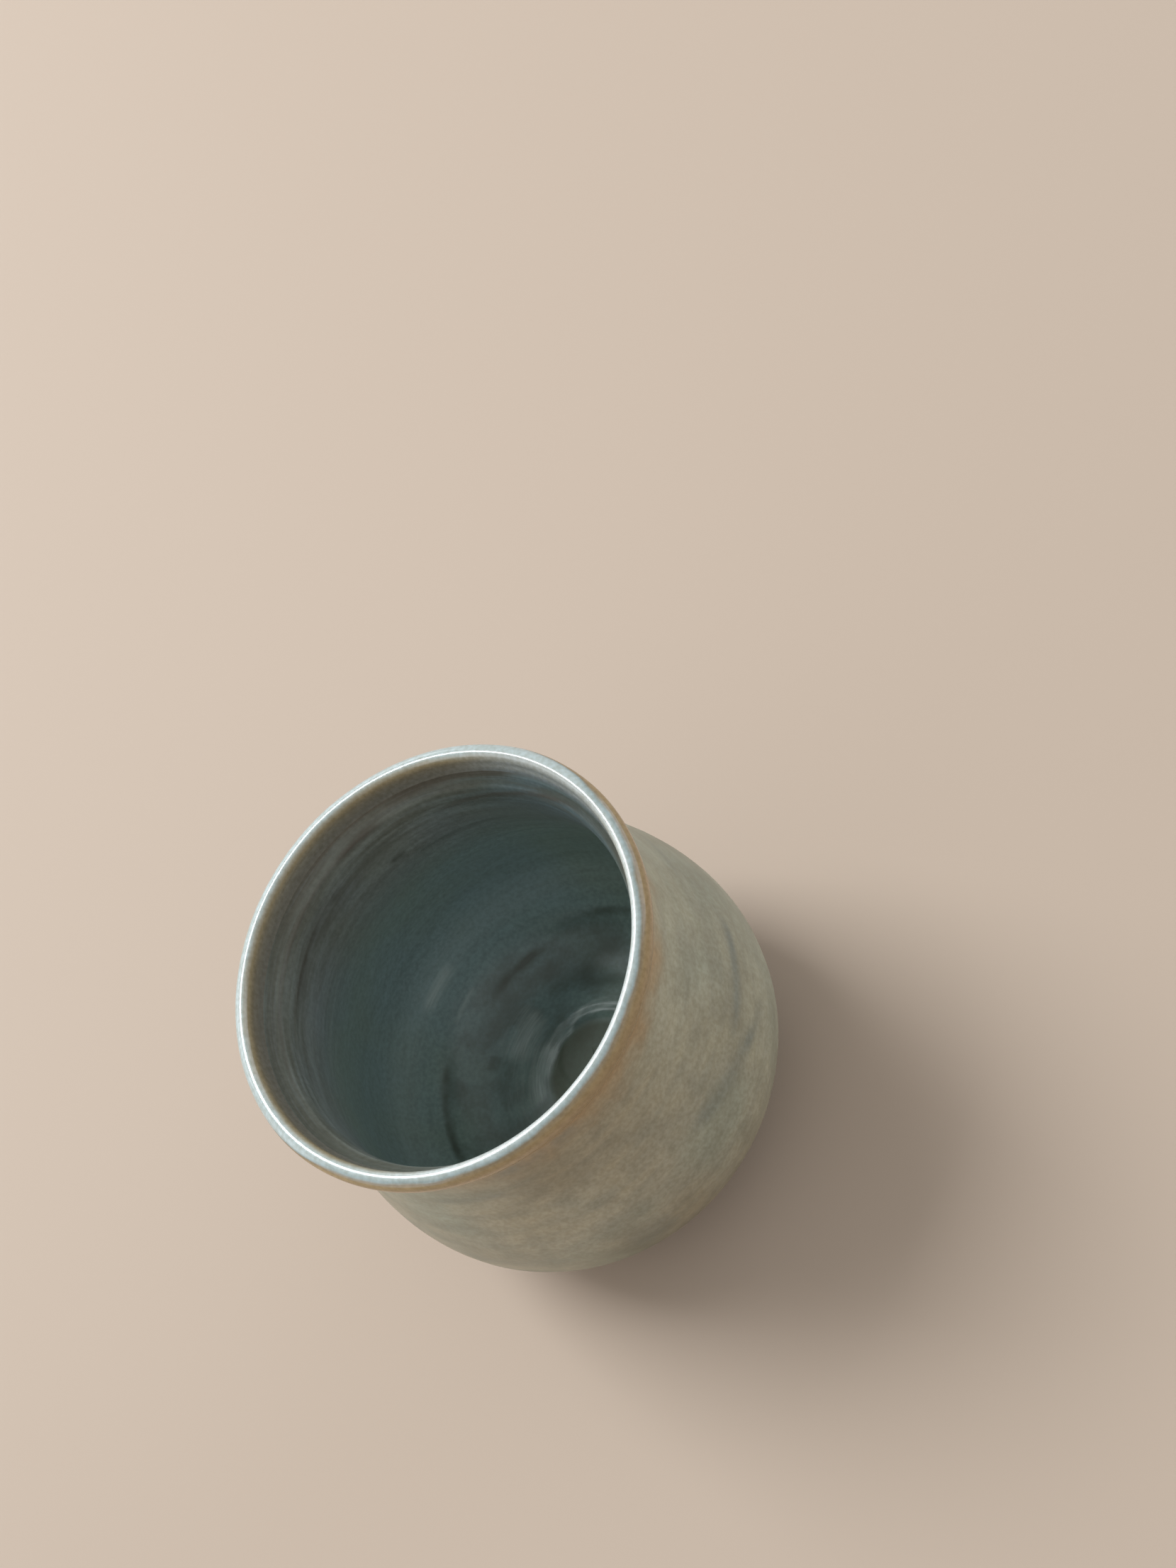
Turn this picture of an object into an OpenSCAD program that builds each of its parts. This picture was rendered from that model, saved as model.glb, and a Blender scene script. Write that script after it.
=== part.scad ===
// A wheel-thrown stoneware tumbler with no handle.
// It stands on its turned foot ring at z = 0, and its axis is z.
// The clay body carries three coats: a liner inside, an outer coat and a band over the lip.

/* [Cup] */
// Height from the table to the top of the lip
cup_h = 82; // [74:1:110]
// Diameter of the mouth, over the crest of the lip
lip_d = 80; // [74:1:96]
// Diameter of the waist below the lip
waist_d = 77.8; // [70:0.2:90]
// Depth of the waist below the top of the lip
waist_drop = 11; // [8:0.5:18]
// Diameter of the belly where it is widest
belly_d = 90; // [84:1:110]
// Height of the widest point of the belly above the table
belly_h = 30; // [24:1:42]

/* [Lip] */
// How far the bead of the lip stands out from its crest
bead_out = 2.1; // [1.4:0.1:2.6]
// How far the bead stands in from its crest
bead_in = 1.3; // [1.2:0.1:2]
// Height of the bead's rounded top
bead_h = 2.2; // [1.6:0.1:3]
// Depth to which the lip's own coat runs down outside
band_out_drop = 5; // [4:0.5:7]
// Depth to which the lip's own coat runs down inside
band_in_drop = 4; // [3.5:0.5:7]

/* [Wall and floor] */
// Thickness of the wall at the waist, with both coats
waist_wall = 3.1; // [2.8:0.1:5]
// Thickness of the wall at the belly, with both coats
belly_wall = 3.8; // [3:0.1:6]
// Thickness of the clay floor
floor_t = 5.5; // [4:0.5:8]
// Diameter of the level middle of the floor inside
floor_flat_d = 40; // [30:1:48]

/* [Foot] */
// Diameter of the foot ring
foot_d = 45; // [36:1:56]
// Height of the foot ring
foot_h = 4.4; // [3.6:0.2:6]
// Width of the foot ring
foot_w = 5; // [4:0.5:7]
// Radius of the cove where the foot ring meets the bowl
foot_cove = 1.6; // [1:0.1:2]
// Depth of the turned recess inside the foot ring
recess_h = 3; // [2:0.2:3.6]
// Rounding of the foot ring's edges
foot_round = 0.8; // [0.4:0.1:1.2]

/* [Glaze] */
// Thickness of every coat of glaze
glaze_t = 0.5; // [0.3:0.1:0.7]
// Height above the table at which the outer coat stops
glaze_line = 1.6; // [1.4:0.1:1.8]

/* [Throwing marks] */
// Spacing of the finger rings on the inner wall
ring_pitch = 4.2; // [3:0.2:6]
// Depth of the finger rings on the inner wall
ring_depth = 0.16; // [0.04:0.02:0.2]
// Diameter of the finger groove where the wall turns into the floor
groove_d = 61; // [54:1:66]
// Width of that groove
groove_w = 2.4; // [1.6:0.2:4]
// Depth of that groove
groove_depth = 0.2; // [0.1:0.05:0.25]
// Diameter of the finger spiral on the floor, at its outer turn
spiral_d = 26.6; // [24:0.2:30]
// Spacing of the spiral's turns
spiral_pitch = 9; // [7:0.5:10]
// Width of the spiral's ridge
spiral_w = 3.6; // [2:0.2:4]
// Height of the spiral's ridge above the floor
spiral_h = 0.5; // [0.3:0.1:1]

/* [Hidden] */
$fn = 128;

lip_r = lip_d / 2;
waist_r = waist_d / 2;
belly_r = belly_d / 2;
foot_r = foot_d / 2;
bare_foot_r = foot_r - glaze_t;
recess_r = foot_r - glaze_t - foot_w;
floor_flat_r = floor_flat_d / 2;
waist_h = cup_h - waist_drop;
bead_base_h = cup_h - bead_h;
inner_waist_r = waist_r - waist_wall;
inner_belly_r = belly_r - belly_wall;
floor_h = recess_h + floor_t + glaze_t;
groove_r = groove_d / 2;
spiral_r = spiral_d / 2;

// Points on each stretch of the section
cove_steps = 4;
bowl_steps = 14;
wall_steps = 14;
flare_steps = 7;
bead_steps = 6;
ring_steps = 6;
marked_bowl_steps = 30;

// Angle at which the spiral starts, its half turns, an odd number, and the steps across its ridge
spiral_start = -125;
spiral_halves = 3;
spiral_sides = 8;

// Points along an elliptical arc, from the angle a0 to the angle a1
function arc(cx, cz, rx, rz, a0, a1, steps) =
    [for (k = [0:steps]) let (a = a0 + (a1 - a0) * k / steps)
        [cx + rx * cos(a), cz + rz * sin(a)]];

// A smooth sweep from one radius to another, upright at both ends
function sweep(r0, z0, r1, z1, steps) =
    [for (k = [0:steps]) let (t = k / steps)
        [r0 + (r1 - r0) * (1 - cos(180 * t)) / 2, z0 + (z1 - z0) * t]];

// A stretch of a list, a list without its first point, and a list turned round
function part(pts, from, to) = [for (k = [from:to]) pts[k]];
function tail(pts) = part(pts, 1, len(pts) - 1);
function turned(pts) = [for (k = [len(pts) - 1:-1:0]) pts[k]];

// Outside of the glazed cup, from the glaze's edge up to the crest of the lip
foot_wall = [[foot_r, glaze_line + glaze_t], [foot_r, foot_h - foot_cove]];
foot_curve = arc(foot_r + foot_cove, foot_h - foot_cove, foot_cove, foot_cove,
    180, 90, cove_steps);
hip = arc(foot_r + foot_cove, belly_h, belly_r - foot_r - foot_cove, belly_h - foot_h,
    -90, 0, bowl_steps);
outer_wall = sweep(belly_r, belly_h, waist_r, waist_h, wall_steps);
outer_flare = sweep(waist_r, waist_h, lip_r + bead_out, bead_base_h, flare_steps);
outer_bead = arc(lip_r, bead_base_h, bead_out, bead_h, 0, 90, bead_steps);
outside = concat(foot_wall, tail(foot_curve), tail(hip), tail(outer_wall),
    tail(outer_flare), tail(outer_bead));

// Inside of the glazed cup, from the crest of the lip down to the middle of the floor
inner_bead = arc(lip_r, bead_base_h, bead_in, bead_h, 90, 180, bead_steps);
inner_flare = sweep(lip_r - bead_in, bead_base_h, inner_waist_r, waist_h, flare_steps);
lip_inside = concat(tail(inner_bead), tail(inner_flare));
inner_wall = sweep(inner_waist_r, waist_h, inner_belly_r, belly_h, wall_steps);
function bowl(steps) = arc(floor_flat_r, belly_h, inner_belly_r - floor_flat_r,
    belly_h - floor_h, 0, -90, steps);
floor_middle = [0, floor_h];
skin = concat(outside, lip_inside, tail(inner_wall), tail(bowl(bowl_steps)), [floor_middle]);

// The clay's own surface lies one coat below the glazed one, square to it
last = len(skin) - 1;
function along(k) = skin[min(k + 1, last)] - skin[max(k - 1, 0)];
function into_clay(k) = k == last ? [0, -1] : let (d = along(k)) [-d[1], d[0]] / norm(d);
clay = [for (k = [0:last]) skin[k] + glaze_t * into_clay(k)];

// Where the lip's own coat meets the outer coat and the liner
crest = len(outside) - 1;
lip_foot = crest + len(lip_inside);
band_start = max([for (k = [0:crest]) if (skin[k][1] < cup_h - band_out_drop) k]);
band_end = min([for (k = [crest:last]) if (skin[k][1] < cup_h - band_in_drop) k]);

// The potter's finger rings on the inner wall, which fade out at its top and its foot
ring_count = max(2, round((waist_h - belly_h) / ring_pitch));
ring_points = ring_count * ring_steps;
function ring(t) = ring_depth * sin(180 * t) * (1 - cos(360 * ring_count * t)) / 2;
even_wall = sweep(inner_waist_r, waist_h, inner_belly_r, belly_h, ring_points);
ringed_wall = [for (k = [0:ring_points]) even_wall[k] + [ring(k / ring_points), 0]];

// The finger groove at the foot of the wall, pressed square to the bowl
function groove(r) = groove_depth * exp(-pow(2 * (r - groove_r) / groove_w, 2));
grooved_bowl = [for (p = bowl(marked_bowl_steps))
    let (out = p - [floor_flat_r, belly_h]) p + groove(p[0]) * out / norm(out)];

// One coat of glaze, turned round the axis from its outline
module coat(face, back) {
    rotate_extrude()
        polygon(concat(face, turned(back)));
}

// The ridge that the finger leaves as it draws across the floor to the middle.
// Each half turn is a true arc, and the next one starts where it ends, on a centre one step over.
module floor_spiral() {
    ridge = [for (k = [0:spiral_sides]) let (t = 2 * k / spiral_sides - 1)
        [spiral_w / 2 * t, spiral_h * (1 + cos(180 * t)) / 2]];
    root = [[spiral_w / 2, -glaze_t / 2], [-spiral_w / 2, -glaze_t / 2]];
    half_ridge = part(ridge, spiral_sides / 2, spiral_sides);
    half_root = [[spiral_w / 2, -glaze_t / 2], [0, -glaze_t / 2]];
    step = spiral_pitch / 2;
    second_centre = -step * [cos(spiral_start), sin(spiral_start)];
    spiral_end = spiral_start + 180 * spiral_halves;
    translate([0, 0, floor_h]) {
        for (i = [0:spiral_halves - 1])
            translate(i % 2 == 1 ? second_centre : [0, 0])
                rotate(spiral_start + 180 * i)
                    rotate_extrude(angle = 180)
                        translate([spiral_r - step * i, 0])
                            polygon(concat(ridge, root));
        for (end = [[spiral_start, spiral_r],
                [spiral_end, spiral_r - step * (spiral_halves - 1)]])
            rotate(end[0])
                translate([end[1], 0])
                    rotate_extrude()
                        polygon(concat(half_ridge, half_root));
    }
}

// Fired clay: wall, floor and the turned foot ring, bare below the outer coat
module clay_body() {
    recess_ceiling = [[0, recess_h]];
    recess_cove = arc(recess_r - foot_round, recess_h - foot_round, foot_round, foot_round,
        90, 0, cove_steps);
    inner_edge = arc(recess_r + foot_round, foot_round, foot_round, foot_round,
        180, 270, cove_steps);
    outer_edge = arc(bare_foot_r - foot_round, foot_round, foot_round, foot_round,
        270, 360, cove_steps);
    color("#b59a78")
        rotate_extrude()
            polygon(concat(clay, recess_ceiling, recess_cove, inner_edge, outer_edge));
}

// Teal-grey liner, from the lip's band down over the marks of throwing
module liner_glaze() {
    color("#4d5b57") {
        coat(concat(part(skin, band_end, lip_foot), tail(ringed_wall), tail(grooved_bowl),
            [floor_middle]), part(clay, band_end, last));
        floor_spiral();
    }
}

// Sage-grey outer coat, whose rolled edge stops above the table
module outer_glaze() {
    rolled_edge = arc(bare_foot_r, glaze_line + glaze_t, glaze_t, glaze_t,
        -90, 0, cove_steps);
    color("#9a9681")
        coat(concat(rolled_edge, part(skin, 1, band_start)), part(clay, 0, band_start));
}

// Pale blue-grey band where the two coats meet over the lip
module lip_glaze() {
    color("#b4bfbb")
        coat(part(skin, band_start, band_end), part(clay, band_start, band_end));
}

clay_body();
liner_glaze();
outer_glaze();
lip_glaze();
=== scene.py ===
import bisect
import math
import bpy
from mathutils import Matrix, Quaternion, Vector


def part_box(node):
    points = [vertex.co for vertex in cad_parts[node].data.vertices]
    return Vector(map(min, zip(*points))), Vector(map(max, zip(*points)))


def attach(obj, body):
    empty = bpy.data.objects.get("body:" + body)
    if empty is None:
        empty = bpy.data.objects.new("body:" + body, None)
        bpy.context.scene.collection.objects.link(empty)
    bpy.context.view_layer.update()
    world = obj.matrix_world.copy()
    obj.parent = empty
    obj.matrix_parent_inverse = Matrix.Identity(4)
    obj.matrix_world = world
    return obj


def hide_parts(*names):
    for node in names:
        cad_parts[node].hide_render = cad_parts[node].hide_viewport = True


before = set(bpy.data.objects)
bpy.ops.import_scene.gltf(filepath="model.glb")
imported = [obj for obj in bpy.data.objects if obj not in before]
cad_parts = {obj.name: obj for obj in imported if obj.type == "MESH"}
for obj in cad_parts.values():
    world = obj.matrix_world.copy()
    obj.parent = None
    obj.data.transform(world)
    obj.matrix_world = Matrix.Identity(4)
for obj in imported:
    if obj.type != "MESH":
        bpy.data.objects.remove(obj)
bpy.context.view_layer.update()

# Clay body
# The tumbler itself, thrown on the wheel in buff stoneware, then turned upside down to cut its foot.
# The coats of glaze hide it down to a line just above the table. Below that line and under the foot
# the fired clay is bare: dry, sandy and pale, with the rings that the turning tool leaves.

# The cup's sizes are in millimetres and its angles in degrees, here and in the sections below.
MM = 0.001
TURN_STEPS = 256

waist_r, waist_h = 38.9, 71.0
belly_h = 30.0
bead_out, bead_in, bead_h = 2.1, 1.3, 2.2
inner_waist_r, inner_belly_r = 35.8, 41.2
floor_flat_r = 20.0
foot_r, foot_h, foot_cove, foot_w, foot_round = 22.5, 4.4, 1.6, 5.0, 0.8
recess_h = 3.0
recess_steps, tool_pitch, tool_depth = 70, 1.7, 0.14
nub_r, nub_h = 1.6, 0.35
wobble, wobble_size, wobble_rise, wobble_room = 0.3, 28, 14, 0.0024


def box_mm(node):
    """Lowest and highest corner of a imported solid, in millimetres."""
    low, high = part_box(node)
    return low / MM, high / MM


clay_high = box_mm("clay_body")[1]
coat_low, coat_high = box_mm("outer_glaze")
band_low, band_high = box_mm("lip_glaze")
liner_low, liner_high = box_mm("liner_glaze")
cup_h = band_high.z
belly_r = coat_high.x
lip_r = max(band_high.x, band_high.y) - bead_out
glaze_t = coat_high.x - clay_high.x
glaze_line = coat_low.z
floor_h = liner_low.z + glaze_t
bead_base_h = cup_h - bead_h
bare_foot_r = foot_r - glaze_t
recess_r = bare_foot_r - foot_w


def arc(centre, size, start, stop, steps):
    """Points along an elliptical arc, as radius and height, from one angle to another."""
    angles = [math.radians(start + (stop - start) * k / steps) for k in range(steps + 1)]
    return [(centre[0] + size[0] * math.cos(a), centre[1] + size[1] * math.sin(a)) for a in angles]


def sweep(start, stop, steps):
    """A smooth sweep from one radius and height to another, upright at both ends."""
    shares = [k / steps for k in range(steps + 1)]
    eased = [(1 - math.cos(math.pi * t)) / 2 for t in shares]
    return [(start[0] + (stop[0] - start[0]) * e, start[1] + (stop[1] - start[1]) * t)
            for t, e in zip(shares, eased)]


hip_foot_r = foot_r + foot_cove
outside = [(foot_r, glaze_line + glaze_t), (foot_r, foot_h - foot_cove)]
outside += arc((hip_foot_r, foot_h - foot_cove), (foot_cove, foot_cove), 180, 90, 8)[1:]
outside += arc((hip_foot_r, belly_h), (belly_r - hip_foot_r, belly_h - foot_h), -90, 0, 64)[1:]
outside += sweep((belly_r, belly_h), (waist_r, waist_h), 72)[1:]
outside += sweep((waist_r, waist_h), (lip_r + bead_out, bead_base_h), 30)[1:]
outside += arc((lip_r, bead_base_h), (bead_out, bead_h), 0, 90, 20)[1:]
inside = arc((lip_r, bead_base_h), (bead_in, bead_h), 90, 180, 20)[1:]
inside += sweep((lip_r - bead_in, bead_base_h), (inner_waist_r, waist_h), 30)[1:]
inside += sweep((inner_waist_r, waist_h), (inner_belly_r, belly_h), 100)[1:]
inside += arc((floor_flat_r, belly_h), (inner_belly_r - floor_flat_r, belly_h - floor_h), 0, -90, 84)[1:]
inside += [(floor_flat_r * (1 - k / 56), floor_h) for k in range(1, 57)]
skin = outside + inside
crest = len(outside) - 1


def into_clay(k):
    """The direction from the glazed skin into the clay, square to the skin."""
    if k == len(skin) - 1:
        return 0.0, -1.0
    before, after = skin[max(k - 1, 0)], skin[k + 1]
    run, rise = after[0] - before[0], after[1] - before[1]
    length = math.hypot(run, rise)
    return -rise / length, run / length


clay = []
for k, point in enumerate(skin):
    inward = into_clay(k)
    clay.append((point[0] + glaze_t * inward[0], point[1] + glaze_t * inward[1]))


def throw(name, face, back):
    """Draws an outline by extruding one vertex from point to point, and spins it once round the axis.

    Points are radius and height in millimetres. Those of the face go into the group "face", and those
    of the back, which is hidden, are fewer."""
    bpy.ops.object.select_all(action="DESELECT")
    bpy.ops.mesh.primitive_plane_add(size=MM)
    piece = bpy.context.object
    piece.name = name
    bpy.ops.object.mode_set(mode="EDIT")
    bpy.ops.mesh.merge(type="CENTER")
    place = (0.0, 0.0)
    for k, point in enumerate(face + back):
        step = ((point[0] - place[0]) * MM, 0, (point[1] - place[1]) * MM)
        if k == 0:
            bpy.ops.transform.translate(value=step)
        else:
            bpy.ops.mesh.extrude_region_move(TRANSFORM_OT_translate={"value": step})
        place = point
    bpy.ops.object.mode_set(mode="OBJECT")
    piece.vertex_groups.new(name="face").add(list(range(len(face))), 1.0, "REPLACE")
    bpy.ops.object.mode_set(mode="EDIT")
    bpy.ops.mesh.select_all(action="SELECT")
    bpy.ops.mesh.spin(steps=TURN_STEPS, angle=math.tau, center=(0, 0, 0), axis=(0, 0, 1))
    bpy.ops.mesh.select_all(action="SELECT")
    bpy.ops.mesh.remove_doubles(threshold=0.002 * MM)
    bpy.ops.mesh.normals_make_consistent(inside=False)
    bpy.ops.object.mode_set(mode="OBJECT")
    bpy.ops.object.shade_smooth_by_angle(angle=math.radians(40))
    return piece


def ease(value, start, stop):
    """0 before the start, 1 past the stop and a smooth step between."""
    t = min(max((value - start) / (stop - start), 0.0), 1.0)
    return t * t * (3 - 2 * t)


def places(piece, whole=False):
    """Lists each vertex of the face, or of the whole piece: its number, its radius and height in
    millimetres and its angle round the axis in degrees."""
    face = piece.vertex_groups["face"].index
    spots = []
    for vertex in piece.data.vertices:
        if whole or any(g.group == face for g in vertex.groups):
            x, y, z = vertex.co / MM
            spots.append((vertex.index, math.hypot(x, y), z, math.degrees(math.atan2(y, x))))
    return spots


def shift(piece, shares, height, direction="NORMAL", texture=None):
    """Moves a piece's skin by a height in millimetres, as far as each vertex's share, 0 to 1, lets it."""
    group = piece.vertex_groups.new(name="share")
    for number, share in shares:
        if share > 0:
            group.add([number], share, "REPLACE")
    modifier = piece.modifiers.new("shift", "DISPLACE")
    modifier.direction = direction
    modifier.strength = height * MM
    modifier.mid_level = 0.5 if texture else 0.0
    modifier.texture = texture
    modifier.texture_coords = "LOCAL"
    modifier.vertex_group = group.name
    bpy.context.view_layer.objects.active = piece
    bpy.ops.object.modifier_apply(modifier=modifier.name)
    piece.vertex_groups.remove(piece.vertex_groups["share"])


drift = bpy.data.textures.new("kiln_drift", "CLOUDS")
drift.cloud_type = "COLOR"
drift.noise_scale = wobble_size * MM
drift.noise_depth = 1


def settle(piece):
    """Leaves the cup a hair out of round, as throwing and firing do, more so further up from its foot.

    It is drawn in by as much first, so that it stays inside the size of the solids."""
    bpy.ops.object.select_all(action="DESELECT")
    piece.select_set(True)
    bpy.context.view_layer.objects.active = piece
    bpy.ops.object.mode_set(mode="EDIT")
    bpy.ops.mesh.select_all(action="SELECT")
    bpy.ops.transform.resize(value=(1 - wobble_room,) * 3, center_override=(0, 0, 0))
    bpy.ops.object.mode_set(mode="OBJECT")
    shares = [(number, ease(height, foot_h, foot_h + wobble_rise))
              for number, _, height, _ in places(piece, True)]
    shift(piece, shares, wobble, "RGB_TO_XYZ", drift)


recess = []
for k in range(recess_steps):
    radius = (recess_r - foot_round) * k / recess_steps
    scallop = tool_depth * abs(math.sin(math.pi * radius / tool_pitch))
    nub = nub_h * math.exp(-(radius / nub_r) ** 2)
    recess.append((radius, recess_h - tool_depth + scallop - nub))
foot = recess + arc((recess_r - foot_round, recess_h - foot_round), (foot_round, foot_round), 90, 0, 8)
foot += arc((recess_r + foot_round, foot_round), (foot_round, foot_round), 180, 270, 8)
foot += arc((bare_foot_r - foot_round, foot_round), (foot_round, foot_round), 270, 360, 8)
clay_piece = throw("stoneware_body", foot, clay[::3] + [clay[-1]])
settle(clay_piece)


def linear(code):
    """An sRGB hex colour as the linear values that a shader takes."""
    channels = [int(code[k:k + 2], 16) / 255 for k in (0, 2, 4)]
    return [c / 12.92 if c <= 0.04045 else ((c + 0.055) / 1.055) ** 2.4 for c in channels] + [1.0]


def add(tree, kind, inputs=(), stops=(), **settings):
    """Adds a node with its settings and its inputs, which go by name or in the sockets' order.

    An input is a value, a hex colour, a socket, or a node, which gives its first output. A ramp also
    gets its stops, as share and colour."""
    node = tree.nodes.new("ShaderNode" + kind)
    for name, value in settings.items():
        setattr(node, name, value)
    for place, value in inputs.items() if isinstance(inputs, dict) else enumerate(inputs):
        if isinstance(value, bpy.types.Node):
            value = value.outputs[0]
        if isinstance(value, bpy.types.NodeSocket):
            tree.links.new(value, node.inputs[place])
        else:
            node.inputs[place].default_value = linear(value) if isinstance(value, str) else value
    for k, (share, code) in enumerate(stops):
        elements = node.color_ramp.elements
        element = elements[k] if k < 2 else elements.new(share)
        element.position = share
        element.color = linear(code)
    return node


def blank(name):
    """A new material with no nodes, its node tree, and its coordinates in millimetres."""
    material = bpy.data.materials.new(name)
    material.use_nodes = True
    tree = material.node_tree
    tree.nodes.clear()
    metres = add(tree, "TexCoord").outputs["Object"]
    return material, tree, add(tree, "Mapping", {"Vector": metres, "Scale": (1 / MM,) * 3})


# Buff stoneware, biscuit dry: a matt sandy skin of 0.4 mm grog, toasted in places by the kiln,
# with small iron specks.
grog_size, toast_size, speck_gap = 0.4, 11.0, 2.6
clay_finish, tree, mm = blank("fired_buff_stoneware")
grog = add(tree, "TexNoise", {"Vector": mm, "Scale": 1 / grog_size, "Detail": 3.0})
toast = add(tree, "TexNoise", {"Vector": mm, "Scale": 1 / toast_size, "Detail": 2.0})
iron = add(tree, "TexVoronoi", {"Vector": mm, "Scale": 1 / speck_gap})
toasted = add(tree, "ValToRGB", (toast,), stops=[(0.35, "C9B08B"), (0.65, "B08E66")])
sandy = add(tree, "ValToRGB", (grog,), stops=[(0.3, "B9B9B9"), (0.7, "FFFFFF")])
sanded = add(tree, "MixRGB", (1.0, toasted, sandy), blend_type="MULTIPLY")
speck = add(tree, "MapRange", (iron, 0.09, 0.14, 0.75, 0.0))
specked = add(tree, "MixRGB", (speck, sanded, "4A3526"))
grain = add(tree, "Bump", {"Height": grog, "Strength": 0.7, "Distance": 0.12 * MM})
surface = add(tree, "BsdfPrincipled", {"Base Color": specked, "Roughness": 0.88, "IOR": 1.5, "Normal": grain})
add(tree, "OutputMaterial", (surface,))
clay_piece.data.materials.append(clay_finish)
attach(clay_piece, "root")
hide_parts("clay_body")

# Outer coat
# A satin ash glaze, half a millimetre thick, that the potter brushes and dips over the outside.
# It stops in a rolled edge above the foot, so that the cup doesn't stick to the kiln shelf.
# It is sage and grey where it lies thick, and breaks to tan round the waist, where it runs thin.
edge_wave, edge_w = 0.5, 0.7
rib_pitch, rib_depth, rib_beat = 5.2, 0.08, 7.3
rib_bottom, rib_top = (8, 18), (64, 72)
band_start = min(range(crest), key=lambda k: abs(skin[k][1] - band_low.z))
rolled_edge = arc((bare_foot_r, glaze_line + glaze_t), (glaze_t, glaze_t), -90, 0, 8)[:-1]
coat_piece = throw("outer_coat", rolled_edge + skin[:band_start + 1],
                   clay[:band_start + 1][::-4] + [clay[0]])


def edge_rise(height, turn):
    """How far the glaze's edge over the foot rises, from a wipe with the sponge that wavers."""
    waves = (math.sin(math.radians(3 * turn + 40)) + math.sin(math.radians(7 * turn)) + 2) / 4
    return waves * (1 - ease(height, glaze_line + glaze_t, glaze_line + glaze_t + edge_w))


def waver(turn, phase):
    """How far a hand drifts up as the wheel turns."""
    return 0.6 * math.sin(math.radians(turn + phase)) + 0.3 * math.sin(math.radians(2 * turn))


def rib_ring(height, turn):
    """Shallow rings outside, from the rib that smooths the wall as it turns."""
    level = height + waver(turn, 20)
    fade = ease(height, *rib_bottom) * (1 - ease(height, *rib_top))
    beat = 0.6 + 0.4 * math.sin(level / rib_beat)
    return fade * beat * (1 - math.cos(math.tau * level / rib_pitch)) / 2


def measure_down(section, shallow_h):
    """Returns a function that says how far down a section a place on it lies, in millimetres from its
    first point. Above a height it goes by the place's height, and below that by its radius."""
    reach = [0.0]
    for before, after in zip(section, section[1:]):
        reach.append(reach[-1] + math.dist(before, after))
    shallow = next((k for k, point in enumerate(section) if point[1] <= shallow_h), 0)

    def down(radius, height):
        if height > shallow_h:
            k = bisect.bisect_left(section, -height, key=lambda point: -point[1])
        else:
            k = bisect.bisect_left(section, -radius, lo=shallow, key=lambda point: -point[0])
        return reach[min(k, len(reach) - 1)]
    return down


def paint(piece, name, strokes, down):
    """Stores a share, 0 to 1, of strokes laid round the cup, each with the angle of its middle and half
    its length in degrees, how far down it lies and half its width in millimetres, its strength, and how
    many millimetres it drifts down from its middle to its end."""
    values = [0.0] * len(piece.data.vertices)
    for number, radius, height, turn in places(piece):
        depth = down(radius, height)
        for middle, half_length, middle_down, half_width, strength, drift_down in strokes:
            along = ((turn - middle + 180) % 360 - 180) / half_length
            across = (depth - middle_down - drift_down * along) / half_width
            if abs(along) < 1 and abs(across) < 3:
                values[number] += strength * ease(abs(along), 1, 0.5) * math.exp(-across * across)
    piece.data.attributes.new(name, "FLOAT", "POINT").data.foreach_set("value", values)


ash_runs = (
    (-48, 19, 41.8, 1.4, 0.9, 0.3), (-74, 18, 44.0, 2.4, 0.6, 4.0), (-58, 9, 49.0, 1.6, 0.4, 2.5),
    (-144, 15, 22.2, 1.4, 0.5, -0.4), (-119, 20, 13.6, 2.4, 0.6, -0.8), (-115, 8, 55.0, 4.5, 0.4, 0.0),
    (-150, 20, 51.0, 2.5, 0.35, 1.0), (-12, 12, 33.0, 1.6, 0.35, 1.0), (22, 25, 30.0, 1.2, 0.6, 1.0),
    (75, 22, 46.0, 1.6, 0.6, -1.0), (112, 14, 52.0, 2.4, 0.5, 0.0), (145, 24, 36.0, 1.0, 0.6, 1.5),
    (178, 12, 44.0, 2.0, 0.4, 0.0))
shares = [(number, edge_rise(height, turn)) for number, _, height, turn in places(coat_piece, True)]
shift(coat_piece, shares, edge_wave, "Z")
shares = [(number, rib_ring(height, turn)) for number, _, height, turn in places(coat_piece)]
shift(coat_piece, shares, -rib_depth)
paint(coat_piece, "ash_run", ash_runs, measure_down(outside[::-1], 0.0))
settle(coat_piece)


def polar(tree, mm):
    """Sockets with the radius, the height, and the direction round the axis as X and Y."""
    parts = add(tree, "SeparateXYZ", (mm,)).outputs
    flat = add(tree, "CombineXYZ", (parts["X"], parts["Y"]))
    radius = add(tree, "VectorMath", (flat,), operation="LENGTH").outputs["Value"]
    bearing = add(tree, "VectorMath", (flat,), operation="NORMALIZE")
    return radius, parts["Z"], add(tree, "SeparateXYZ", (bearing,)).outputs


def brushed(tree, mm, width, turns):
    """Noise drawn out round the cup with no seam, as marks of a width. Fewer turns make them longer."""
    radius, height, bearing = polar(tree, mm)
    section = add(tree, "CombineXYZ", (radius, height, bearing["X"]))
    scaled = add(tree, "Mapping", {"Vector": section, "Scale": (1 / width, 1 / width, turns)})
    way = add(tree, "Math", (bearing["Y"], turns), operation="MULTIPLY")
    return add(tree, "TexNoise", {"Vector": scaled, "W": way, "Scale": 1.0, "Detail": 3.0},
               noise_dimensions="4D")


def mottled(tree, colour, crystals, shade):
    """A glaze's colour, darkened by a shade between its crystals."""
    fine = add(tree, "ValToRGB", (crystals,), stops=[(0.35, shade), (0.65, "FFFFFF")])
    return add(tree, "MixRGB", (1.0, colour, fine), blend_type="MULTIPLY")


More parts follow.
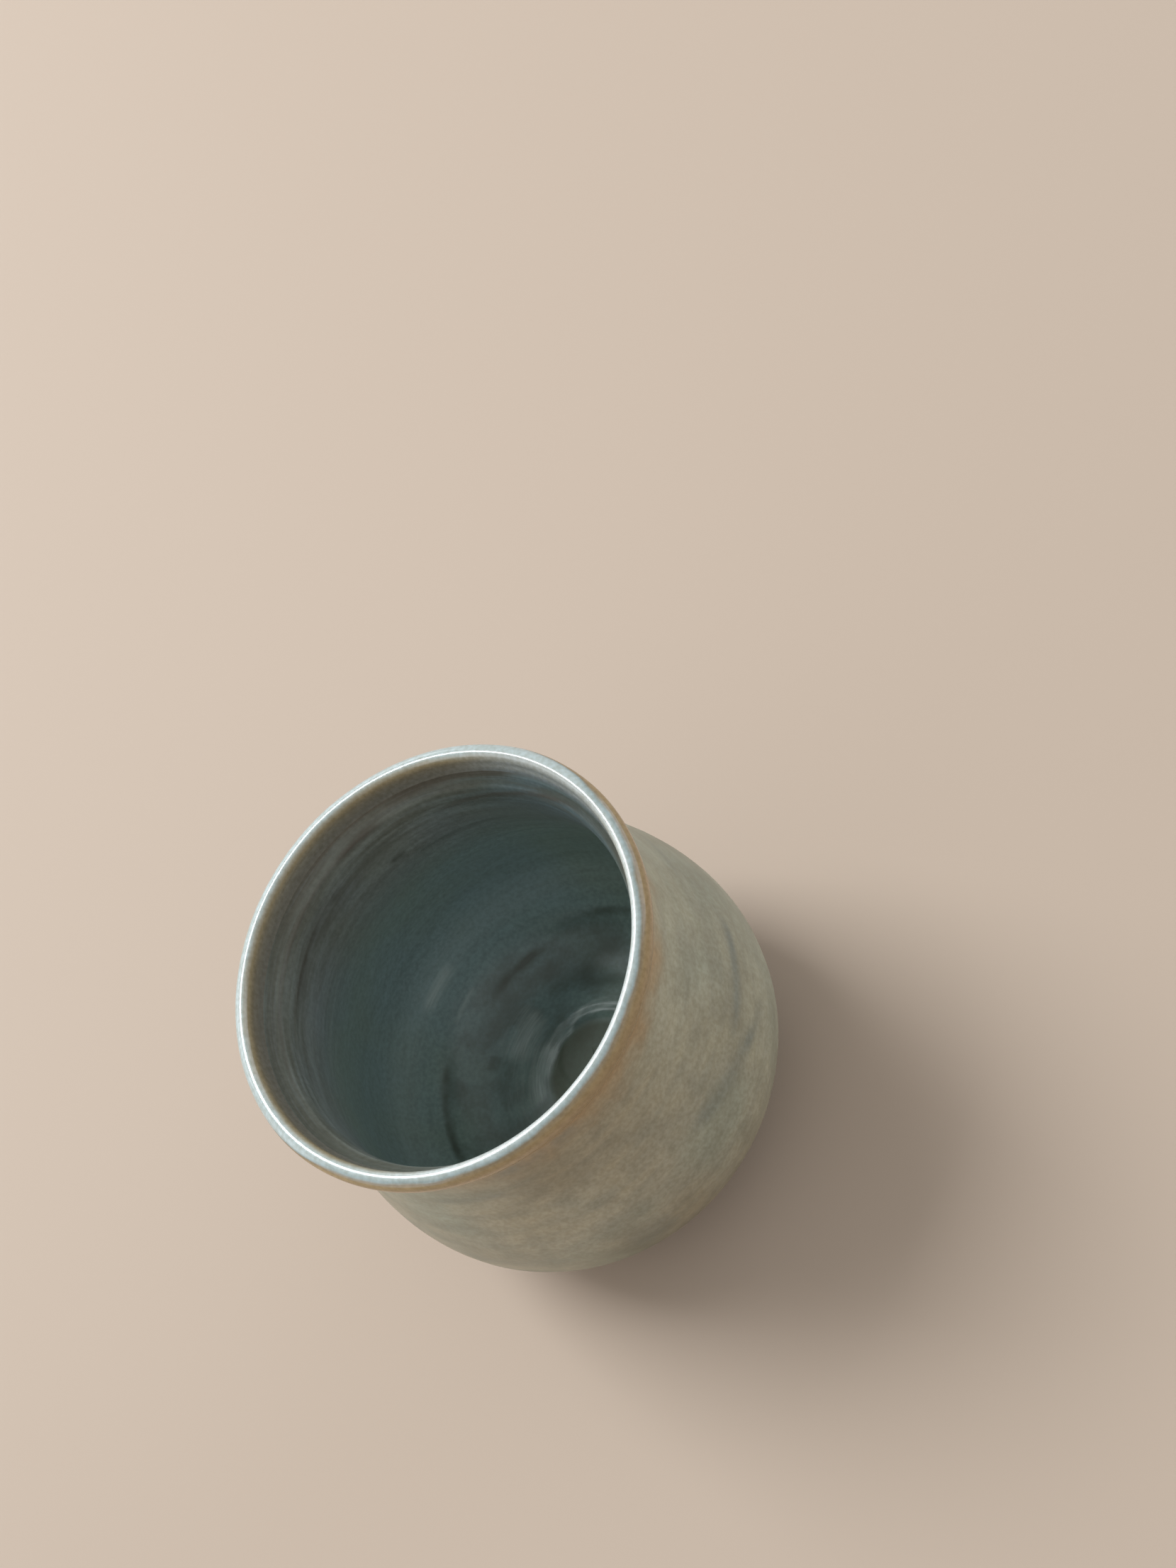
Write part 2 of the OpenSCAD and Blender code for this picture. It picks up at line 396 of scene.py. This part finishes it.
# Satin ash glaze over stoneware: soft clouds of sage, grey and beige some 20 mm wide, dragged round the
# cup by the brush, a few blue-grey runs, a fine crystal mottle, and a dull silky shine. Painted shade
# darkens one side of the neck and the hip, painted cool light makes the other side greener and lighter,
# and the belt between them is darkened evenly. The crystals of such a glaze are some 0.3 mm across, too
# fine to show, so all three glazes have them 0.9 mm wide.
cloud_size, patch_size, crystal_size, brush_w = 24.0, 6.0, 0.9, 2.4
belt_h, belt_half, belt_fade = 45.0, 4.0, 12.0
coat_finish, tree, mm = blank("satin_ash_glaze")
_, height, bearing = polar(tree, mm)
clouds = add(tree, "TexNoise", {"Vector": mm, "Scale": 1 / cloud_size, "Detail": 3.0})
patches = add(tree, "TexNoise", {"Vector": mm, "Scale": 1 / patch_size, "Detail": 4.0})
crystals = add(tree, "TexNoise", {"Vector": mm, "Scale": 1 / crystal_size, "Detail": 4.0})
drags = brushed(tree, mm, brush_w, 3.0)
base = add(tree, "ValToRGB", (clouds,), stops=[(0.36, "B3A990"), (0.5, "B0A994"), (0.64, "A6A795")])
# Painted cool light: the coat turns greener and lighter towards the +X side.
painted_cool_light = add(tree, "MapRange", (bearing["X"], -0.2, 0.9, 0.0, 0.6))
cool_lit = add(tree, "MixRGB", (painted_cool_light, base, "A1AA99"))
patch = add(tree, "MapRange", (patches, 0.4, 0.65, 0.0, 0.35))
patched = add(tree, "MixRGB", (patch, cool_lit, "857F6C"))
drag = add(tree, "MapRange", (drags, 0.4, 0.65, 0.0, 0.35))
dragged = add(tree, "MixRGB", (drag, patched, "8B8B7D"))
# Painted shade: darker towards the -X side, off the belt round the middle; the belt is darkened evenly.
side = add(tree, "MapRange", (bearing["X"], -1.0, 1.0, 0.0, 1.0))
side_shade = add(tree, "ValToRGB", (side,), stops=[(0.05, "FFFFFF"), (0.24, "D6D2CC"), (0.5, "EEEEEE"),
                                              (0.7, "FFFFFF")])
above_belt = add(tree, "Math", (height, belt_h), operation="SUBTRACT")
off_belt = add(tree, "Math", (above_belt,), operation="ABSOLUTE")
uneven = add(tree, "MapRange", (off_belt, belt_half, belt_half + belt_fade, 0.0, 1.0),
             interpolation_type="SMOOTHSTEP")
painted_side_shade = add(tree, "MixRGB", (uneven, "EFEFEF", side_shade))
side_shaded = add(tree, "MixRGB", (1.0, dragged, painted_side_shade), blend_type="MULTIPLY")
wander = add(tree, "MapRange", (patches, 0.3, 0.7, -2.0, 2.0))
level = add(tree, "Math", (height, wander), operation="ADD")
thin = add(tree, "MapRange", (level, 64.5, 75.0, 0.0, 1.0), interpolation_type="SMOOTHSTEP")
broken = add(tree, "MixRGB", (thin, side_shaded, "AC926E"))
near_foot = add(tree, "MapRange", (level, 1.0, 6.0, 0.6, 0.0), interpolation_type="SMOOTHSTEP")
footed = add(tree, "MixRGB", (near_foot, broken, "8E7553"))
run = add(tree, "Attribute", attribute_name="ash_run").outputs["Fac"]
wear = add(tree, "MapRange", (patches, 0.35, 0.65, 1.0, 0.5))
worn = add(tree, "Math", (run, wear), operation="MULTIPLY")
streak = add(tree, "MapRange", (worn, 0.05, 0.9, 0.0, 0.75))
streaked = add(tree, "MixRGB", (streak, footed, "687270"))
matted = mottled(tree, streaked, crystals, "E8E6E0")
relief = add(tree, "MixRGB", (0.5, patches, crystals))
skin_bump = add(tree, "Bump", {"Height": relief, "Strength": 0.25, "Distance": 0.12 * MM})
satin = add(tree, "MapRange", (crystals, 0.3, 0.7, 0.38, 0.5))
glossed = add(tree, "MapRange", (height, 70.0, band_low.z, 0.0, 0.15))
rough = add(tree, "Math", (satin, glossed), operation="SUBTRACT")
surface = add(tree, "BsdfPrincipled", {"Base Color": matted, "IOR": 1.5, "Roughness": rough,
                                       "Normal": skin_bump})
add(tree, "OutputMaterial", (surface,))
coat_piece.data.materials.append(coat_finish)
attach(coat_piece, "root")
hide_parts("outer_glaze")

# Liner
# The glaze inside, poured in and rolled out again, so that it is even and hides the clay all over.
# It is a deep teal-grey, and shows every mark of the fingers under it: rings up the wall, a groove
# where the wall turns into the floor, and the spiral where the finger drew in to the middle.
band_end = min(range(crest, len(skin)), key=lambda k: abs(skin[k][1] - liner_high.z))
liner_piece = throw("liner", skin[band_end:], clay[band_end:][::-4] + [clay[band_end]])

ring_pitch, ring_depth = 4.2, 0.07
neck_rings, neck_ring_depth = ((73.4, 0.5), (69.4, 0.45)), 0.08
groove_arcs = ((33.5, 14, 60), (30.3, 54, 96), (33.3, 114, 164), (31.0, 165, 300), (32.6, 290, 370))
groove_w, groove_depth, groove_end = 1.2, 0.16, 12
spiral_r, spiral_step, spiral_start, spiral_halves = 13.3, 4.5, -125, 3
spiral_w, spiral_h, spiral_hub = 3.6, 0.36, (2, 5)


def finger_ring(height, turn):
    """The rings of the fingers as they draw the wall up, which waver and come and go round the cup."""
    share = (height - belly_h) / (waist_h - belly_h)
    if not 0 < share < 1:
        return 0.0
    press = 0.6 + 0.4 * math.sin(math.radians(2 * turn + 9 * height))
    ring = (1 - math.cos(math.tau * (height + waver(turn, 50)) / ring_pitch)) / 2
    return press * math.sin(math.pi * share) * ring


def neck_ring(height, turn):
    """Two sharper rings at the throat, where the lip was drawn out with a steadier hand."""
    sway = 0.35 * math.sin(math.radians(turn + 200)) + 0.15 * math.sin(math.radians(3 * turn))
    return sum(math.exp(-((height + sway - ring_h) / width) ** 2) for ring_h, width in neck_rings)


def floor_groove(radius, turn):
    """The finger's groove at the foot of the wall, in strokes that overlap."""
    share = 0.0
    for groove_r, start, stop in groove_arcs:
        for angle in (turn, turn + 360):
            ends = ease(angle, start, start + groove_end) * ease(angle, stop, stop - groove_end)
            share += ends * math.exp(-((radius - groove_r) / groove_w) ** 2)
    return min(1.0, share)


def spiral_ridge(radius, turn):
    """The ridge that the finger leaves as it draws in to the middle, in half turns that step inwards."""
    x = radius * math.cos(math.radians(turn))
    y = radius * math.sin(math.radians(turn))
    gap = spiral_w
    for half in range(spiral_halves):
        step = -spiral_step if half % 2 else 0.0
        dx = x - step * math.cos(math.radians(spiral_start))
        dy = y - step * math.sin(math.radians(spiral_start))
        angle = (math.degrees(math.atan2(dy, dx)) - spiral_start - 180 * half) % 360
        if angle <= 180:
            gap = min(gap, abs(math.hypot(dx, dy) - spiral_r + spiral_step * half))
    if gap >= spiral_w / 2:
        return 0.0
    return ease(radius, *spiral_hub) * (1 + math.cos(math.tau * gap / spiral_w)) / 2


raised, pressed = [], []
relief = [0.0] * len(liner_piece.data.vertices)
for number, radius, height, turn in places(liner_piece):
    pressing = ring_depth * finger_ring(height, turn) + neck_ring_depth * neck_ring(height, turn)
    if height < belly_h:
        pressing += groove_depth * floor_groove(radius, turn)
    ridge = spiral_ridge(radius, turn) if height < floor_h + 1 else 0.0
    pressed.append((number, pressing / groove_depth))
    raised.append((number, ridge))
    relief[number] = ridge - pressing / groove_depth
liner_piece.data.attributes.new("relief", "FLOAT", "POINT").data.foreach_set("value", relief)

down_inside = measure_down(inside, 12.0)
# Strokes where the glaze gathers darker; the one at 38 degrees, 6 mm down the wall, is painted shade.
pools_and_shade = (
    (22, 34, 11.4, 0.8, 0.75, 3.9), (74, 11, 9.2, 1.1, 0.5, 0.0), (106, 26, 14.2, 1.2, 0.55, 0.8),
    (144, 36, 13.2, 1.1, 0.25, -0.6), (110, 60, 16.5, 2.4, 0.35, 0.0), (70, 4, 21.5, 1.1, 0.8, 0.0),
    (50, 22, 25.3, 0.8, 0.55, 0.3), (38, 28, 6.0, 1.3, 0.55, 0.4), (27, 18, 71.8, 0.9, 0.45, 0.6),
    (73, 18, 75.9, 1.1, 0.9, 0.4), (139, 25, 72.0, 0.9, 0.65, -0.2), (117, 5, 82.0, 1.6, 0.7, 0.0),
    (55, 22, 84.5, 2.0, 0.4, 0.5), (35, 16, 87.0, 1.6, 0.35, 0.0), (52, 36, 80.0, 3.0, 0.4, 0.5),
    (112, 64, 9.2, 0.5, 0.5, 0.0), (200, 60, 73.0, 1.2, 0.8, 0.5), (260, 45, 78.5, 2.5, 0.6, 0.0),
    (310, 40, 71.0, 1.0, 0.8, -0.5), (230, 30, 30.0, 1.0, 0.5, 0.5), (290, 25, 44.0, 1.2, 0.4, 0.0),
    (260, 60, 13.8, 1.0, 0.6, 1.0))
# Pale strokes where the glaze thins over ridges; those near 97 degrees on the wall and the one at 2 degrees
# under the lip are painted highlights and reflections.
pale_streaks_and_highlights = (
    (97, 10, 64.5, 1.4, 0.9, 0.0), (98, 9, 71.6, 0.5, 0.6, 0.2), (95, 90, 62.0, 5.0, 0.2, 0.0),
    (97, 20, 86.5, 3.2, 0.8, 0.0), (34, 18, 92.8, 0.45, 0.55, 1.2), (50, 30, 91.8, 0.3, 0.4, 1.6),
    (64, 15, 93.6, 0.5, 0.8, 2.0), (98, 34, 95.0, 0.7, 0.9, 0.0), (122, 34, 93.2, 1.9, 0.9, -0.8),
    (125, 40, 88.0, 3.0, 0.3, -0.5), (88, 18, 92.8, 0.35, 0.6, 0.6), (2, 24, 5.8, 0.9, 0.25, 0.6),
    (150, 40, 5.4, 0.8, 0.15, -0.4), (60, 40, 7.6, 0.8, 0.12, 0.3), (280, 90, 63.0, 4.0, 0.2, 0.0),
    (235, 14, 66.0, 1.4, 0.7, 0.0), (300, 40, 89.0, 1.5, 0.5, 1.0), (205, 30, 93.0, 0.8, 0.7, 1.0))
paint(liner_piece, "pool_and_shade", pools_and_shade, down_inside)
paint(liner_piece, "pale_and_highlight", pale_streaks_and_highlights, down_inside)
shift(liner_piece, pressed, -groove_depth)
shift(liner_piece, raised, spiral_h)
settle(liner_piece)

# Gloss teal-grey liner: a dark iron glaze that gathers darker and browner in the grooves and turns pale
# where it thins on a ridge, with soft blue clouds, 2 mm brush marks, fine threads, a taupe neck, a murky
# bowl, and an olive puddle inside the spiral. A painted cool reflection makes the neck bluer on one side,
# painted shade darkens the wall beside it, and some dark and pale strokes are painted shade, highlights
# and reflections.
cloud_size, patch_size, murk_size, brush_w, thread_w = 26.0, 4.0, 7.0, 1.8, 0.5
pool_r, murk_low, murk_high = 11.0, floor_h + 3, floor_h + 6
liner_finish, tree, mm = blank("teal_iron_glaze")
radius, height, bearing = polar(tree, mm)
clouds = add(tree, "TexNoise", {"Vector": mm, "Scale": 1 / cloud_size, "Detail": 2.0})
patches = add(tree, "TexNoise", {"Vector": mm, "Scale": 1 / patch_size, "Detail": 3.0})
crystals = add(tree, "TexNoise", {"Vector": mm, "Scale": 1 / crystal_size, "Detail": 4.0})
drags = brushed(tree, mm, brush_w, 2.2)
threads = brushed(tree, mm, thread_w, 3.0)
base = add(tree, "ValToRGB", (clouds,), stops=[(0.36, "95A69F"), (0.64, "95A9AC")])
rise = add(tree, "MapRange", (height, 10.0, 60.0, 0.0, 1.0))
climb = add(tree, "ValToRGB", (rise,), stops=[(0.0, "E2ECEA"), (0.2, "FFFFFF"), (0.45, "FFFFFF"),
                                              (0.7, "FBF9F3"), (1.0, "ECDCDB")])
tinted = add(tree, "MixRGB", (1.0, base, climb), blend_type="MULTIPLY")
wave = add(tree, "MapRange", (drags, 0.3, 0.7, -1.5, 1.5))
level = add(tree, "Math", (height, wave), operation="ADD")
neck = add(tree, "MapRange", (level, 65.0, 76.0, 0.0, 1.0), interpolation_type="SMOOTHSTEP")
# Painted cool reflection: the neck and throat turn bluer on the +X side.
cool_flank_reflection = add(tree, "MapRange", (bearing["X"], 0.85, 1.0, 0.0, 1.0), interpolation_type="SMOOTHSTEP")
neck_tone = add(tree, "MixRGB", (cool_flank_reflection, "6F7268", "6D797B"))
necked = add(tree, "MixRGB", (neck, tinted, neck_tone))
throat = add(tree, "MapRange", (level, 73.5, 77.5, 0.0, 1.0), interpolation_type="SMOOTHSTEP")
brown_side = add(tree, "MapRange", (bearing["X"], -0.4, 0.2, 0.0, 1.0))
throat_tone = add(tree, "MixRGB", (brown_side, "5D6057", "665B4D"))
throat_reflected = add(tree, "MixRGB", (cool_flank_reflection, throat_tone, "57625F"))
throated = add(tree, "MixRGB", (throat, necked, throat_reflected))
# Painted shade: the wall beside that side is darkened from 45 mm up to the neck.
shade_bearing = add(tree, "MapRange", (bearing["X"], 0.5, 0.87, 0.0, 1.0))
shade_height = add(tree, "MapRange", (height, 45.0, 72.0, 0.0, 1.0))
deep = add(tree, "Math", (shade_bearing, shade_height), operation="MULTIPLY")
wall_shaded = add(tree, "MixRGB", (deep, throated, "C8D4D7"), blend_type="MULTIPLY")
drag = add(tree, "MapRange", (drags, 0.4, 0.6, 0.0, 1.0))
drag_room = add(tree, "MapRange", (height, 50.0, 70.0, 0.12, 0.5))
brush = add(tree, "Math", (drag, drag_room), operation="MULTIPLY")
dragged = add(tree, "MixRGB", (brush, wall_shaded, "5A574B"))
graze = add(tree, "MapRange", (threads, 0.48, 0.68, 0.0, 0.2))
graze_room = add(tree, "MapRange", (height, 64.0, 72.0, 0.0, 1.0))
grazed = add(tree, "Math", (graze, graze_room), operation="MULTIPLY")
streaky = add(tree, "MixRGB", (grazed, dragged, "848C8E"))
matted = mottled(tree, streaky, crystals, "E8E8E6")
shallow = add(tree, "MapRange", (height, murk_low, murk_high, 1.0, 0.0))
murk = add(tree, "TexNoise", {"Vector": mm, "Scale": 1 / murk_size, "Detail": 3.0})
murk_share = add(tree, "MapRange", (murk, 0.4, 0.6, 0.15, 0.65))
murky = add(tree, "Math", (murk_share, shallow), operation="MULTIPLY")
clouded = add(tree, "MixRGB", (murky, matted, "58615A"))
olive = add(tree, "MapRange", (radius, pool_r - 1.0, pool_r + 1.5, 0.7, 0.0),
            interpolation_type="SMOOTHSTEP")
centre = add(tree, "Math", (olive, shallow), operation="MULTIPLY")
centred = add(tree, "MixRGB", (centre, clouded, "53553F"))
press = add(tree, "Attribute", attribute_name="relief").outputs["Fac"]
# These strokes darken the glaze here; one of them is painted shade.
pool_and_shade = add(tree, "Attribute", attribute_name="pool_and_shade").outputs["Fac"]
pressed_in = add(tree, "MapRange", (press, -0.4, -1.2, 0.0, 0.4))
gathered = add(tree, "Math", (pressed_in, pool_and_shade), operation="ADD")
unevenness = add(tree, "MapRange", (patches, 0.35, 0.65, 1.1, 0.7))
uneven = add(tree, "Math", (gathered, unevenness), operation="MULTIPLY")
pool_and_shade_share = add(tree, "MapRange", (uneven, 0.05, 1.0, 0.0, 0.85))
upper = add(tree, "MapRange", (height, 55.0, 66.0, 0.0, 1.0))
pool_tone = add(tree, "MixRGB", (upper, "485046", "4C443A"))
pooled_and_shaded = add(tree, "MixRGB", (pool_and_shade_share, centred, pool_tone))
# Pale strokes, partly thin glaze and partly painted highlights and reflections.
pale_and_highlight = add(tree, "Attribute", attribute_name="pale_and_highlight").outputs["Fac"]
strands = add(tree, "MapRange", (threads, 0.35, 0.6, 1.15, 0.6))
stranded = add(tree, "Math", (pale_and_highlight, strands), operation="MULTIPLY")
pale_share = add(tree, "MapRange", (stranded, 0.05, 1.0, 0.0, 0.7))
paled_and_highlighted = add(tree, "MixRGB", (pale_share, pooled_and_shaded, "BCC8C6"))
satin = add(tree, "MapRange", (patches, 0.3, 0.7, 0.28, 0.34))
dulled = add(tree, "MapRange", (centre, 0.0, 0.7, 0.0, 0.3))
rough = add(tree, "Math", (satin, dulled), operation="ADD")
skin_bump = add(tree, "Bump", {"Height": crystals, "Strength": 0.06, "Distance": 0.08 * MM})
surface = add(tree, "BsdfPrincipled", {"Base Color": paled_and_highlighted, "IOR": 1.5, "Roughness": rough,
                                       "Normal": skin_bump})
add(tree, "OutputMaterial", (surface,))
liner_piece.data.materials.append(liner_finish)
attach(liner_piece, "root")
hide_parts("liner_glaze")

# Lip coat
# Where the liner and the outer coat meet over the rim they flux together into a paler, glossier band.
# It is thin on the crest, which shows a pale blue-grey line, partly the glaze's own colour and partly a
# painted reflection, and gathers tan and brown on each side.
lip_piece = throw("lip_coat", skin[band_start:band_end + 1],
                  clay[band_start:band_end + 1][::-2] + [clay[band_start]])
settle(lip_piece)

# Glossy fluxed glaze: glassy and pale where it is drawn thin over the crest, brown where it gathers; the
# pale crest is partly its own colour and partly a painted reflection. The pale line comes lower outside on
# the far rim and inside on the near one, a painted reflection of the lamps on those slopes, and the band
# inside is greyer and bluer on one side, a painted cool reflection.
cloud_size, band_reach = 8.0, 6.0
lip_finish, tree, mm = blank("fluxed_rim_glaze")
radius, height, bearing = polar(tree, mm)
crystals = add(tree, "TexNoise", {"Vector": mm, "Scale": 1 / crystal_size, "Detail": 4.0})
clouds = add(tree, "TexNoise", {"Vector": mm, "Scale": 1 / cloud_size, "Detail": 3.0})
wave = add(tree, "MapRange", (clouds, 0.3, 0.7, -0.15, 0.15))
level = add(tree, "Math", (height, wave), operation="ADD")
# Painted reflection: the pale line outside reaches lower on the far rim.
far_reflection = add(tree, "MapRange", (bearing["Y"], -0.2, 0.5, 0.0, 1.6))
reflection_lifted = add(tree, "Math", (level, far_reflection), operation="ADD")
depth = add(tree, "MapRange", (level, cup_h - band_reach, cup_h, 0.0, 1.0))
out_depth = add(tree, "MapRange", (reflection_lifted, cup_h - band_reach, cup_h, 0.0, 1.0))
# The pale blue-grey stops at the crest are partly the glaze's own colour and partly painted reflection.
out_bands = add(tree, "ValToRGB", (out_depth,), stops=[(0.0, "A98F6B"), (0.8, "9B8661"), (0.88, "84755C"),
                                                       (0.93, "909E9F"), (0.97, "A6B1B0")])
in_bands = add(tree, "ValToRGB", (depth,), stops=[(0.3, "726E64"), (0.5, "827A6B"), (0.66, "8E816A"),
                                                  (0.8, "9E8F71"), (0.9, "A19C8A"), (0.97, "A6B1B0")])
# Painted cool reflection: the inner band turns grey-blue on the +X side.
cool_flank_reflection = add(tree, "MapRange", (bearing["X"], 0.79, 1.0, 0.0, 0.9), interpolation_type="SMOOTHSTEP")
flank_reflection_tone = add(tree, "ValToRGB", (depth,), stops=[(0.22, "70787A"), (0.38, "A5A9A6")])
inner = add(tree, "MixRGB", (cool_flank_reflection, in_bands, flank_reflection_tone))
# Painted reflection: the inner slope of the near rim is paled.
near_reflection_side = add(tree, "MapRange", (bearing["Y"], -0.2, -0.8, 0.0, 1.0))
near_top = add(tree, "MapRange", (depth, 0.7, 0.85, 0.0, 1.0))
near = add(tree, "Math", (near_reflection_side, near_top), operation="MULTIPLY")
inner_reflected = add(tree, "MixRGB", (near, inner, "B9BFBD"))
outwards = add(tree, "MapRange", (radius, lip_r - 0.4, lip_r + 0.4, 0.0, 1.0))
banded = add(tree, "MixRGB", (outwards, inner_reflected, out_bands))
matted = mottled(tree, banded, crystals, "E8E6E0")
skin_bump = add(tree, "Bump", {"Height": clouds, "Strength": 0.06, "Distance": 0.1 * MM})
gloss = add(tree, "MapRange", (clouds, 0.3, 0.7, 0.12, 0.17))
dulled = add(tree, "MapRange", (depth, 0.0, 0.7, 0.14, 0.0))
rough = add(tree, "Math", (gloss, dulled), operation="ADD")
surface = add(tree, "BsdfPrincipled", {"Base Color": matted, "IOR": 1.6, "Roughness": rough,
                                       "Normal": skin_bump})
add(tree, "OutputMaterial", (surface,))
lip_piece.data.materials.append(lip_finish)
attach(lip_piece, "root")
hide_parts("lip_glaze")

# Studio
# A round sheet of sand-coloured paper in a pale room, open under the foot ring and clear from below, so
# that the underside shows. A window-like lamp stands high behind the cup and a low sill under it, with a
# faint fill and two side cards. The camera looks into the mouth and is rolled to the left.
floor_r, foot_opening = 900.0, 20.8

bpy.ops.object.select_all(action="DESELECT")
bpy.ops.mesh.primitive_circle_add(vertices=96, radius=foot_opening * MM)
floor = bpy.context.object
floor.name = "studio_floor"
bpy.ops.object.mode_set(mode="EDIT")
bpy.ops.mesh.extrude_region_move()
bpy.ops.transform.resize(value=(floor_r / foot_opening,) * 3, center_override=(0, 0, 0))
bpy.ops.mesh.select_all(action="SELECT")
bpy.ops.mesh.normals_make_consistent(inside=False)
bpy.ops.object.mode_set(mode="OBJECT")
floor_finish, tree, mm = blank("sand_paper_floor")
paper = add(tree, "BsdfPrincipled", {"Base Color": "A99888", "Roughness": 0.7})
clear = add(tree, "BsdfTransparent")
under = add(tree, "NewGeometry").outputs["Backfacing"]
sheet = add(tree, "MixShader", (under, paper, clear))
add(tree, "OutputMaterial", (sheet,))
floor.data.materials.append(floor_finish)


def light(name, place, width, height, power, code):
    """A flat oblong lamp that faces the cup, with its place and size in metres."""
    bpy.ops.object.light_add(type="AREA", location=place)
    lamp = bpy.context.object
    lamp.name = name
    lamp.data.shape = "RECTANGLE"
    lamp.data.size = width
    lamp.data.size_y = height
    lamp.data.energy = power
    lamp.data.color = linear(code)[:3]
    lamp.visible_camera = False
    lamp.rotation_mode = "QUATERNION"
    lamp.rotation_quaternion = (-Vector(place)).to_track_quat("-Z", "Y")


light("window", (-0.22, 1.25, 1.85), 1.05, 1.2, 48.0, "F7FBFF")
light("sill", (-0.1, 1.5, 0.55), 1.8, 0.7, 7.0, "F4F8FF")
light("fill", (0.2, -0.8, 0.7), 0.9, 0.9, 0.7, "FFFDFA")
light("left_card", (-0.98, 0.25, 0.34), 1.4, 0.65, 3.2, "E8F3FF")
light("right_card", (0.95, -0.1, 0.38), 0.9, 0.6, 2.7, "DCECFF")

room = bpy.data.worlds.new("pale_room")
room.use_nodes = True
bpy.context.scene.world = room
tree = room.node_tree
tree.nodes.clear()
seen = add(tree, "LightPath").outputs["Is Camera Ray"]
pale = add(tree, "MixRGB", (seen, "F4F2EE", "F1DECB"))
backing = add(tree, "Background", (pale, 0.62))
add(tree, "OutputWorld", (backing,))

# The camera's place, the point that it looks at on the table, both in metres, and its roll
stand = Vector((0.0, -0.2185, 0.3863))
aim = Vector((0.0519, 0.0493, 0.0))
roll = math.radians(46.77)
bpy.ops.object.camera_add(location=stand)
camera = bpy.context.object
camera.data.sensor_width = 36
camera.data.lens = 48
camera.rotation_mode = "QUATERNION"
camera.rotation_quaternion = (aim - stand).to_track_quat("-Z", "Y") @ Quaternion((0, 0, 1), -roll)
bpy.context.scene.camera = camera
bpy.context.scene.view_settings.view_transform = "Standard"
